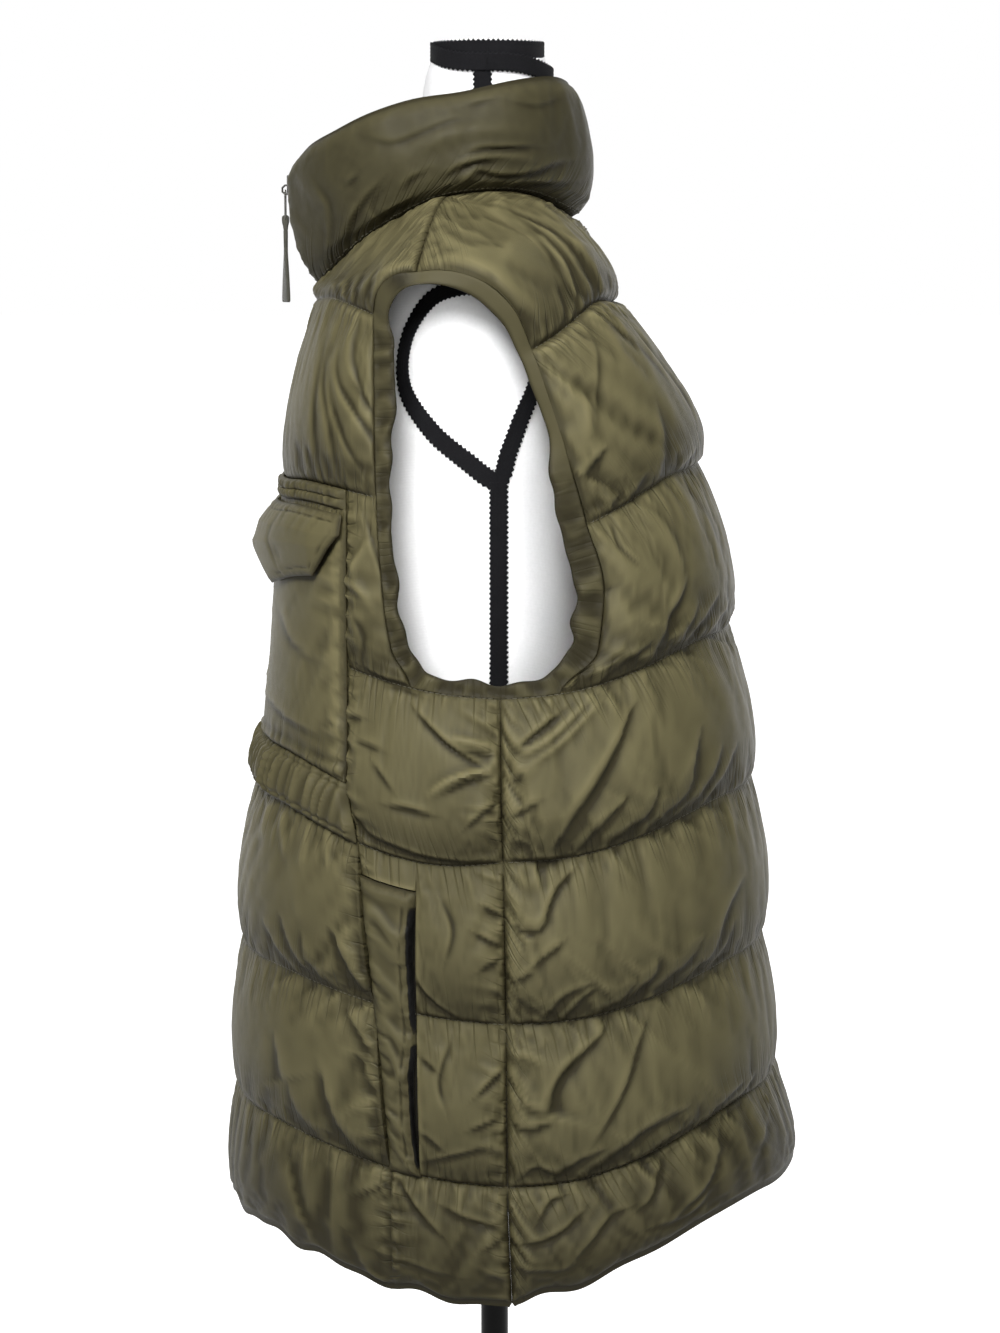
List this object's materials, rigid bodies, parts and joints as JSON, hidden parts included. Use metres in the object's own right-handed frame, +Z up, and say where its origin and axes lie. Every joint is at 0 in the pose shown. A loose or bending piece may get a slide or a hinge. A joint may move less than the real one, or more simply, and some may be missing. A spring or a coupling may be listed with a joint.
{
  "type": "padded vest on dress form",
  "caption": "Long quilted puffer vest with a funnel collar, flapped chest pockets and hand pockets, zipped up on a limbless dress form that stands on a pole with a round base.",
  "frame": {"origin": "centre of the round base's underside, on the pole's axis", "axes": "+Z up the pole; -Y is the way the vest's front faces; +X is the wearer's left side"},
  "size_m": [0.4734, 0.4168, 1.4],
  "materials": {
    "nylon_olive": "semi-gloss woven nylon",
    "webbing": "dull tape",
    "zip_coil": "dull coil",
    "gunmetal": "dark satin metal",
    "form_cloth": "matt jersey cover",
    "black_tape": "matt braid",
    "black_steel": "gloss black"
  },
  "bodies": {
    "vest_on_stand": {"arm_tape_left": "black_tape", "arm_tape_right": "black_tape", "armhole_band_left": "nylon_olive", "armhole_band_right": "nylon_olive", "back": "nylon_olive", "back_tape": "black_tape", "base": "black_steel", "chest_pocket_left": "nylon_olive", "chest_pocket_right": "nylon_olive", "collar": "nylon_olive", "form_neck_cap": "form_cloth", "form_torso": "form_cloth", "front_body_left": "nylon_olive", "front_body_right": "nylon_olive", "front_yoke_left": "nylon_olive", "front_yoke_right": "nylon_olive", "hand_pocket_welt_left": "nylon_olive", "hand_pocket_welt_right": "nylon_olive", "neck_tape": "black_tape", "pocket_flap_left": "nylon_olive", "pocket_flap_right": "nylon_olive", "pole": "black_steel", "shoulder_tape_left": "black_tape", "shoulder_tape_right": "black_tape", "side_front_left": "nylon_olive", "side_front_right": "nylon_olive", "side_tape_left": "black_tape", "side_tape_right": "black_tape", "waist_casing_left": "nylon_olive", "waist_casing_right": "nylon_olive", "yoke_strip_left": "nylon_olive", "yoke_strip_right": "nylon_olive", "zip_chain": "zip_coil", "zip_slider": "gunmetal", "zip_tape_left": "webbing", "zip_tape_right": "webbing"},
    "zip_pull": {"zip_pull_link": "gunmetal", "zip_pull_tab": "webbing"}
  },
  "joints": [
    {"name": "zip_pull_swing", "type": "hinge", "parent": "vest_on_stand", "child": "zip_pull", "pos_m": [0, -0.14736, 1.2974], "axis": [-1, 0, 0], "range_deg": [-10, 160]}
  ]
}
